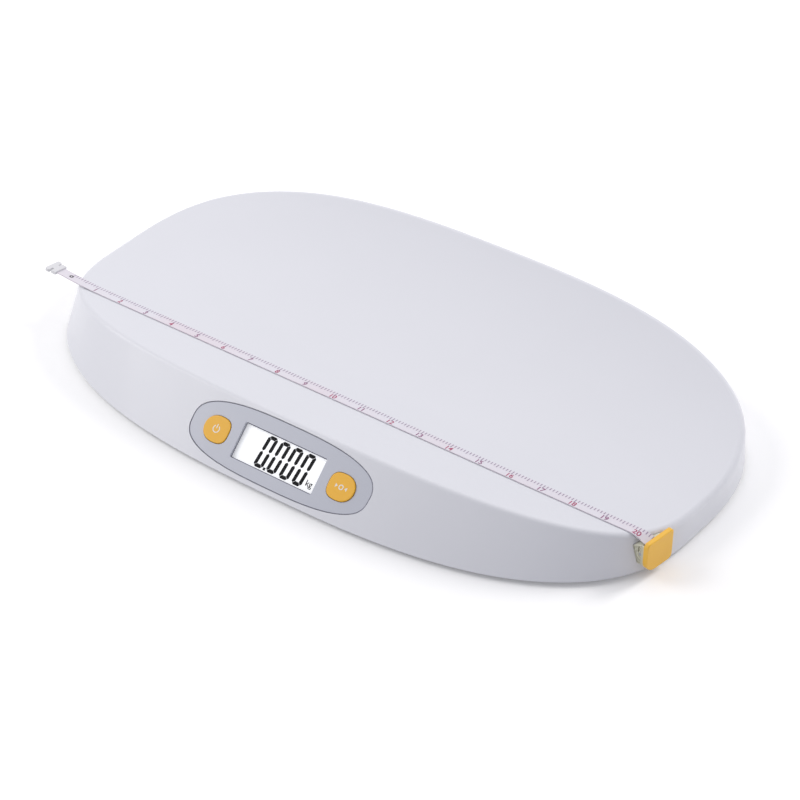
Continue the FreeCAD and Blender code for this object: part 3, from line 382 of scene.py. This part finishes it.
# For each slot of the part, a material with its own name, colour and roughness.
MATERIALS = {
    "tray_white": moulded("tray_white", (0.70, 0.705, 0.745), 0.42,
                          spread=0.008, grain=700, depth=0.004 * MM, coat=0.1),
    "pan_white": moulded("pan_white", (0.66, 0.67, 0.71), 0.55, spread=0.04, grain=1400, depth=0.05 * MM),
    "steel": metal("screw_steel", (0.55, 0.56, 0.58), 0.32, squeeze=(1, 1, 8)),
    "bezel_grey": moulded("bezel_grey", (0.525, 0.54, 0.60), 0.4, spread=0.01, grain=1500),
    "clear_window": clear_window(),
    "display_glass": display_white(),
    "backlight": moulded("backlight_white", (0.80, 0.82, 0.82), 0.5),
    "board_green": moulded("board_green", (0.03, 0.16, 0.06), 0.3, spread=0.2, grain=500),
    "board_parts": moulded("board_parts_black", (0.02, 0.02, 0.025), 0.45, spread=0.3),
    "battery_wrap": battery_sleeve(),
    "contact_metal": metal("contact_plating", (0.72, 0.71, 0.68), 0.2, squeeze=(6, 1, 1)),
    "case_ivory": moulded("case_ivory", (0.66, 0.65, 0.52), 0.35,
                          spread=0.05, grain=800, depth=0.01 * MM, coat=0.1),
    "case_yellow": moulded("case_yellow", (0.92, 0.52, 0.055), 0.4,
                           spread=0.06, depth=0.01 * MM, coat=0.05),
    "tape_film": tape_film(),
    "grip_white": moulded("grip_white", (0.68, 0.68, 0.70), 0.35, grain=700),
    "button_orange": moulded("button_orange", (0.88, 0.47, 0.035), 0.45, spread=0.05, grain=1100),
    "switch_black": moulded("switch_black", (0.02, 0.02, 0.02), 0.4, spread=0.2),
    "foot_grey": moulded("foot_grey", (0.26, 0.27, 0.29), 0.6, spread=0.05, grain=1300, depth=0.05 * MM),
    "pad_rubber": moulded("pad_rubber", (0.03, 0.03, 0.032), 0.85, spread=0.2, grain=1600, depth=0.08 * MM),
    "cell_steel": metal("cell_steel", (0.58, 0.59, 0.61), 0.35, squeeze=(1, 8, 1)),
    "cap_plastic": moulded("cap_plastic", (0.58, 0.59, 0.60), 0.5, spread=0.04),
}
# black is print on the display and the tape, and painted shade in the screw recesses
INK_AND_SHADE_BLACK = ink("ink_and_shade_black", (0.002, 0.002, 0.003), fade=0.005)
INK_PINK = ink("ink_pink", (0.40, 0.03, 0.12))
INK_GREY = ink("ink_grey", (0.32, 0.26, 0.36))
# mauve is the tape's edge line: print, and painted shade along that edge
INK_AND_SHADE_MAUVE = ink("ink_and_shade_mauve", (0.50, 0.43, 0.50))
INK_PURPLE = ink("ink_purple", (0.26, 0.07, 0.19))
# slate is painted shade along the edge of the display window
WINDOW_SHADE_SLATE = ink("window_shade_slate", (0.16, 0.16, 0.22))
INK_WHITE = ink("ink_white", (0.88, 0.84, 0.78))
# the panel's colour is painted shade of the gap round the panel
PANEL_GAP_SHADE = ink("panel_gap_shade", (0.21, 0.21, 0.27))


def finish_nodes():
    """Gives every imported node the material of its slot."""
    for part in frame["record"]["subparts"]:
        node = frame["nodes"][part["node"]]
        for place in node.material_slots:
            place.material = MATERIALS[part["material_slot"]]


# ---------------------------------------------------------------- places on the apron
def apron_frame():
    """Matrix with X along the apron, Y up its slope and Z out of its face."""
    low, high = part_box("display_window")
    middle = (Vector(low) + Vector(high)) / 2
    turn = Matrix.Rotation(APRON_ANGLE, 4, "X")
    face = middle + turn @ Vector((0, 0, WINDOW_MIDDLE_DEPTH))
    return Matrix.Translation(face) @ turn


def placed_on(face, height, middle_x=0.0):
    """place(x, y) for print and painted shade at a height over the apron's face, negative behind it."""
    def place(x, y):
        return face @ Vector((middle_x + x * MM, y * MM, height))

    return place


# ---------------------------------------------------------------- display
DIGIT_COUNT = 4
DIGIT_HEIGHT = 24.4
DIGIT_WIDTH = 8.6
DIGIT_FIRST_X = -12.6               # middle of the first digit, from the display's middle
DIGIT_PITCH = 11.3
DIGIT_STROKE = 2.75
DIGIT_GAP = 0.15                    # how far a segment stops short of the corner or the middle line
DIGIT_CORNER = 2.0                  # bevel at the corners
DIGIT_SLANT = 0.10                  # lean to the right for each unit of height
POINT_SIZE = 2.0
POINT_X = 4.6                       # decimal point to the right of the first digit's middle
UNIT = ("kg", 6.4, 29.8, -7.4)      # text, size, x and y


def zero_segments(middle_x):
    """The six lit segments of a nought: mitred at the corners, pointed where two uprights meet."""
    wide = DIGIT_WIDTH / 2
    high = DIGIT_HEIGHT / 2
    stroke = DIGIT_STROKE
    gap = DIGIT_GAP
    cut = DIGIT_CORNER
    level = [
        (-wide + cut + gap, high),
        (wide - cut - gap, high),
        (wide - cut / 2 - gap, high - cut / 2),
        (wide - stroke - gap / 2, high - stroke),
        (-wide + stroke + gap / 2, high - stroke),
        (-wide + cut / 2 + gap, high - cut / 2),
    ]
    upright = [
        (wide, high - cut - gap),
        (wide, stroke / 2),
        (wide - stroke / 2, gap),
        (wide - stroke, stroke / 2),
        (wide - stroke, high - stroke - gap),
        (wide - cut / 2, high - cut / 2 - gap),
    ]
    outlines = [[(x, way * y) for x, y in level] for way in (-1, 1)]
    outlines += [[(side * x, way * y) for x, y in upright] for side in (-1, 1) for way in (-1, 1)]
    return [[(middle_x + x + DIGIT_SLANT * y, y) for x, y in outline] for outline in outlines]


def add_digits(face):
    """Noughts, decimal point and unit on the cell's front, which is the window's back."""
    place = placed_on(face, PRINT_AND_SHADE_LIFT - WINDOW_MIDDLE_DEPTH - WINDOW_HALF_THICK)
    outlines = []
    for count in range(DIGIT_COUNT):
        outlines += zero_segments(DIGIT_FIRST_X + count * DIGIT_PITCH)
    low = -DIGIT_HEIGHT / 2
    point_x = DIGIT_FIRST_X + POINT_X
    outlines.append(bar(point_x - POINT_SIZE / 2, low, point_x + POINT_SIZE / 2, low + POINT_SIZE))
    digits = polygons_mesh("display_digits", outlines, place)
    new_object("display_digits", digits, INK_AND_SHADE_BLACK, "scale")
    unit = placed_texts_mesh("display_unit", [UNIT], place)
    new_object("display_unit", unit, INK_AND_SHADE_BLACK, "scale")


DISPLAY_SIZE = (72.4, 27.4)         # opening over the display
WINDOW_SHADE_WIDTH = 0.6                 # width of the painted shade along its edge


def add_window_border(face):
    """Painted shade: a dark line on the window's front, along the whole edge of its opening, where the
    opening's wall throws shade.
    """
    wide = DISPLAY_SIZE[0] / 2
    tall = DISPLAY_SIZE[1] / 2
    inside = tall - WINDOW_SHADE_WIDTH
    border = [bar(-wide, way * tall, wide, way * inside) for way in (-1, 1)]
    border += [bar(way * wide, -inside, way * (wide - WINDOW_SHADE_WIDTH), inside) for way in (-1, 1)]
    place = placed_on(face, WINDOW_HALF_THICK + PRINT_AND_SHADE_LIFT - WINDOW_MIDDLE_DEPTH)
    mesh = polygons_mesh("window_edge_shade", border, place)
    new_object("window_edge_shade", mesh, WINDOW_SHADE_SLATE, "scale")


# ---------------------------------------------------------------- key symbols
SYMBOL_RADIUS = 3.0                 # outer radius of the power sign's ring
SYMBOL_LINE = 0.75                  # width of the rings and of the upright
POWER_ARC = (math.radians(125), math.radians(415))  # open at the top
POWER_ARC_STEPS = 28
POWER_BAR_FOOT = 0.4                # foot of the power sign's upright over the ring's middle
POWER_BAR_RISE = 0.6                # its head over the top of the ring
ZERO_RADIUS = 0.66 * SYMBOL_RADIUS
ZERO_STEPS = 24
ARROW_TIP = 2.9                     # tip and back of an arrow head, from the nought's middle
ARROW_BACK = 4.9
ARROW_HALF_HEIGHT = 1.5


def power_sign():
    half = SYMBOL_LINE / 2
    outlines = ring_band(SYMBOL_RADIUS, SYMBOL_LINE, *POWER_ARC, POWER_ARC_STEPS)
    outlines.append(bar(-half, POWER_BAR_FOOT, half, SYMBOL_RADIUS + POWER_BAR_RISE))
    return outlines


def zero_sign():
    """A nought between two arrow heads that point at it."""
    outlines = ring_band(ZERO_RADIUS, SYMBOL_LINE, 0, 2 * math.pi, ZERO_STEPS)
    for way in (-1, 1):
        back = way * ARROW_BACK
        outlines.append([(way * ARROW_TIP, 0), (back, ARROW_HALF_HEIGHT), (back, -ARROW_HALF_HEIGHT)])
    return outlines


def add_button_symbols(face):
    """Prints a sign on the crown of each key."""
    into_face = face.inverted()
    for side, way, outlines in (("left", -1, power_sign()), ("right", 1, zero_sign())):
        key = frame["nodes"]["button_" + side]
        crown = max((into_face @ v.co).z for v in key.data.vertices)
        place = placed_on(face, crown + PRINT_AND_SHADE_LIFT, way * BUTTON_X)
        mesh = polygons_mesh("key_symbol_" + side, outlines, place)
        new_object("key_symbol_" + side, mesh, INK_WHITE, side + "_button")


# ---------------------------------------------------------------- painted shade in a line round the panel
PANEL_LINE = 0.45 * MM              # its width
PANEL_POWER = 2.4                   # squareness of an oval that is close to the panel's outline
PANEL_RIM = 0.8                     # its function is above this on the rim, and below it at the openings
FACE_LEAN = 0.8                     # share of a facet's normal that points out of the apron: the panel's
SIDE_LEAN = 0.5                     # face has more than the first, and its side less than the second


def add_panel_line(face):
    """Painted shade: a dark line on the panel's face along its outer edge, standing in for the shade in the
    gap round the panel.
    """
    shape = welded_shape("panel_bezel", face.inverted())
    half_x = max(abs(v.co.x) for v in shape.verts)
    half_y = max(abs(v.co.y) for v in shape.verts)
    surface = BVHTree.FromBMesh(shape)
    lift = Vector((0, 0, PRINT_AND_SHADE_LIFT))
    up = face.to_3x3() @ Vector((0, 0, 1))

    def oval(point):
        return abs(point.x / half_x) ** PANEL_POWER + abs(point.y / half_y) ** PANEL_POWER

    def inward(point):
        """The point on the panel's face that lies a line's width inside the edge."""
        slope_x = math.copysign(abs(point.x / half_x) ** (PANEL_POWER - 1) / half_x, point.x)
        slope_y = math.copysign(abs(point.y / half_y) ** (PANEL_POWER - 1) / half_y, point.y)
        step = Vector((slope_x, slope_y, 0)).normalized() * PANEL_LINE
        return surface.ray_cast(point - step + Vector((0, 0, half_y)), Vector((0, 0, -1)))[0]

    def on_outer_edge(edge):
        leans = sorted(facet.normal.z for facet in edge.link_faces)
        between = len(leans) == 2 and leans[0] < SIDE_LEAN and leans[1] > FACE_LEAN
        return between and oval(edge.verts[0].co) > PANEL_RIM

    line = bmesh.new()
    for edge in filter(on_outer_edge, shape.edges):
        start, end = [v.co for v in edge.verts]
        corners = [corner + lift for corner in (start, end, inward(end), inward(start))]
        quad = line.faces.new([line.verts.new(face @ corner) for corner in corners])
        quad.normal_update()
        if quad.normal.dot(up) < 0:
            quad.normal_flip()
    mesh = bpy.data.meshes.new("panel_line")
    line.to_mesh(mesh)
    line.free()
    shape.free()
    new_object("panel_line", mesh, PANEL_GAP_SHADE, "scale")


# ---------------------------------------------------------------- painted shade in the screw recesses
SCREW_ARM = 1.9 * MM                # reach of the cross's arms
SCREW_ARM_WIDTH = 0.62 * MM


def solids(shape):
    """The points of each separate solid of a mesh."""
    left = dict.fromkeys(shape.verts)   # keeps their order, so that every run is alike
    found = []
    while left:
        todo = [left.popitem()[0]]
        group = list(todo)
        while todo:
            for edge in todo.pop().link_edges:
                for vertex in edge.verts:
                    if vertex in left:
                        del left[vertex]
                        todo.append(vertex)
                        group.append(vertex)
        found.append([vertex.co.copy() for vertex in group])
    return found


def add_screw_recesses():
    """Painted shade: a flat dark cross in the head of each case screw, where its cross recess is in shade;
    its outlines are (y, x), because it looks down.
    """
    reach = SCREW_ARM
    half = SCREW_ARM_WIDTH / 2
    screws = solids(welded_shape("case_screws"))
    print_z = min(point.z for points in screws for point in points) - PRINT_AND_SHADE_LIFT
    outlines = []
    for points in screws:
        middle = sum(points, Vector()) / len(points)
        x = middle.x
        y = middle.y
        outlines.append(bar(y - half, x - reach, y + half, x + reach))
        for way in (-1, 1):
            outlines.append(bar(y + way * half, x - half, y + way * reach, x + half))
    mesh = polygons_mesh("screw_recesses", outlines, lambda y, x: Vector((x, y, print_z)))
    new_object("screw_recesses", mesh, INK_AND_SHADE_BLACK, "scale")


# ---------------------------------------------------------------- tape print, and painted shade along its edge
TICKS_PER_INCH = 10
TICKS_AT_END = 5                    # the last inch's own tick and four past it
TICK_WIDTH = 0.7
TICK_SHORT = 3.1
TICK_LENGTHS = {0: 4.6, 5: 4.0}     # longer ones at the inch and the half inch
TICK_MARGIN = 0.2                   # bare film between the ticks and the tape's edge
NUMBER_SIZE = 6.2
NUMBER_ACROSS = -1.7
EDGE_LINE = 0.5                     # width of the line along the tape's other edge: print, and painted shade along that edge
EDGE_STEP = 3.0                     # length of its pieces, so that it follows the bends
EYELET_X = 11.0                     # its middle from where the tape leaves its grip
EYELET_RADIUS = 1.7
EYELET_WIDTH = 0.9
EYELET_STEPS = 16


def tape_surface():
    """Function from (distance along, across, lift) in metres to a point over the tape's upper face."""
    roll = math.asin(TAPE_Y / TRAY_RADIUS)
    height = TRAY_LOW_Z + TRAY_RADIUS - math.sqrt(TRAY_RADIUS ** 2 - TAPE_Y ** 2) + TAPE_LIFT
    turn = Matrix.Translation((BODY_MIDDLE_X, TAPE_Y, height)) @ Matrix.Rotation(roll, 4, "X")

    def point(along, across, lift):
        lift += TAPE_THICK
        if along < TAPE_CURL_X:
            angle = (TAPE_CURL_X - along) / TAPE_CURL_RADIUS
            reach = TAPE_CURL_RADIUS - lift
            x = TAPE_CURL_X - reach * math.sin(angle)
            return turn @ Vector((x, across, TAPE_CURL_RADIUS - reach * math.cos(angle)))
        bend_x = TAPE_BEND_X[0] + (TAPE_BEND_X[1] - TAPE_BEND_X[0]) * (across / TAPE_WIDTH + 0.5)
        run = along - bend_x
        if run <= 0:
            return turn @ Vector((along, across, lift))
        angle = min(run / TAPE_BEND_RADIUS, TAPE_BEND_ANGLE)
        rest = max(run - TAPE_BEND_ANGLE * TAPE_BEND_RADIUS, 0)
        reach = TAPE_BEND_RADIUS + lift
        x = bend_x + reach * math.sin(angle) + rest * math.cos(angle)
        z = -TAPE_BEND_RADIUS + reach * math.cos(angle) - rest * math.sin(angle)
        return turn @ Vector((x, across, z))

    return point


def tick_outlines():
    zero_x = (LAST_INCH_X - LAST_INCH * INCH) / MM
    edge = TAPE_WIDTH / MM / 2
    outlines = []
    for count in range(LAST_INCH * TICKS_PER_INCH + TICKS_AT_END):
        x = zero_x + INCH / MM * count / TICKS_PER_INCH
        length = TICK_LENGTHS.get(count % TICKS_PER_INCH, TICK_SHORT)
        outlines.append(bar(x - TICK_WIDTH / 2, edge - length, x + TICK_WIDTH / 2, edge - TICK_MARGIN))
    return outlines


def edge_line_outlines():
    start = TAPE_START / MM
    edge = -TAPE_WIDTH / MM / 2
    steps = round((TAPE_END - TAPE_START) / MM / EDGE_STEP)
    return [
        bar(start + step * EDGE_STEP, edge, start + (step + 1) * EDGE_STEP, edge + EDGE_LINE)
        for step in range(steps)
    ]


def eyelet_outlines():
    middle = TAPE_START / MM + EYELET_X
    ring = ring_band(EYELET_RADIUS, EYELET_WIDTH, 0, 2 * math.pi, EYELET_STEPS)
    return [[(middle + x, y) for x, y in piece] for piece in ring]


def number_texts(first):
    """Every second number from the first one, at its inch."""
    return [
        (str(number), NUMBER_SIZE, (LAST_INCH_X - (LAST_INCH - number) * INCH) / MM, NUMBER_ACROSS)
        for number in range(first, LAST_INCH + 1, 2)
    ]


def add_tape_print():
    """Inch numbers in two colours by turns, with ticks, an edge line of print and painted shade, and an
    eyelet.
    """
    point = tape_surface()

    def place(x, y):
        return point(x * MM, y * MM, TAPE_PRINT_AND_SHADE_LIFT)

    for name, outlines, material in (
        ("tape_ticks", tick_outlines(), INK_GREY),
        ("tape_edge_line", edge_line_outlines(), INK_AND_SHADE_MAUVE),
        ("tape_eyelet", eyelet_outlines(), INK_AND_SHADE_BLACK),
    ):
        new_object(name, polygons_mesh(name, outlines, place), material, "scale")
    for name, first, material in (("tape_numbers_pink", 2, INK_PINK), ("tape_numbers_purple", 1, INK_PURPLE)):
        mesh = placed_texts_mesh(name, number_texts(first), place)
        new_object(name, mesh, material, "scale")


# ---------------------------------------------------------------- floor
FLOOR_HALF_WIDTH = 12.0
FLOOR_Z = -0.1 * MM                 # just under the feet, so that no two faces share a plane
FLOOR_GLOW = (0.12, 1.0)            # near the object, and far off where no lamp reaches
FLOOR_GLOW_REACH = (0.35, 2.6)      # metres from the middle


def floor_white():
    """Pale floor that is seen as white and keeps the object's shadow."""
    material, nodes, links, shader = new_material("floor_white")
    shader.inputs["Base Color"].default_value = (0.95, 0.95, 0.95, 1)
    shader.inputs["Roughness"].default_value = 0.9
    shader.inputs["Specular IOR Level"].default_value = 0.0
    shader.inputs["Emission Color"].default_value = (1, 1, 1, 1)
    where = nodes.new("ShaderNodeTexCoord")
    away = nodes.new("ShaderNodeVectorMath")
    away.operation = "LENGTH"
    links.new(where.outputs["Object"], away.inputs[0])
    glow = nodes.new("ShaderNodeMath")
    glow.operation = "MULTIPLY"
    links.new(seen_rays(nodes, links), glow.inputs[0])
    links.new(mapped(nodes, links, away.outputs["Value"], FLOOR_GLOW_REACH, FLOOR_GLOW), glow.inputs[1])
    links.new(glow.outputs["Value"], shader.inputs["Emission Strength"])
    return material


def add_floor():
    size = FLOOR_HALF_WIDTH
    mesh = polygons_mesh("floor", [bar(-size, -size, size, size)], lambda x, y: Vector((x, y, FLOOR_Z)))
    mesh.materials.append(floor_white())
    floor = bpy.data.objects.new("floor", mesh)
    bpy.context.scene.collection.objects.link(floor)


# ---------------------------------------------------------------- light
LAMP_COLOUR = (1.0, 0.985, 0.96)
LAMPS = (                           # name, place and width in metres, watts, seen in reflections
    ("key", (0.95, 1.75, 1.3), 0.8, 26, False),
    ("top", (-0.9, 1.3, 1.7), 1.4, 3, True),
    ("fill", (-1.3, -0.6, 1.2), 1.2, 15.5, True),
)
WORLD_COLOUR = (0.95, 0.955, 1.03)
WORLD_STRENGTH = (0.515, 1.0)       # as light on matt surfaces, and as background and in reflections


def add_lamp(name, place, width, watts, mirrored):
    """A round lamp that points at the frame's origin."""
    lamp = bpy.data.lights.new(name, "AREA")
    lamp.shape = "DISK"
    lamp.size = width
    lamp.energy = watts
    lamp.color = LAMP_COLOUR
    holder = bpy.data.objects.new(name, lamp)
    holder.location = place
    holder.visible_glossy = mirrored
    holder.rotation_euler = (-Vector(place)).to_track_quat("-Z", "Y").to_euler()
    bpy.context.scene.collection.objects.link(holder)


def add_world():
    world = bpy.data.worlds.new("studio")
    bpy.context.scene.world = world
    world.use_nodes = True
    nodes = world.node_tree.nodes
    links = world.node_tree.links
    back = nodes["Background"]
    back.inputs["Color"].default_value = (*WORLD_COLOUR, 1)
    strength = mapped(nodes, links, seen_rays(nodes, links), (0, 1), WORLD_STRENGTH)
    links.new(strength, back.inputs["Strength"])


# ---------------------------------------------------------------- scene
bpy.context.scene.view_settings.view_transform = "Standard"
finish_nodes()
APRON = apron_frame()
add_digits(APRON)
add_window_border(APRON)
add_button_symbols(APRON)
add_panel_line(APRON)
add_screw_recesses()
add_tape_print()
add_floor()
for lamp_values in LAMPS:
    add_lamp(*lamp_values)
add_world()
add_camera()
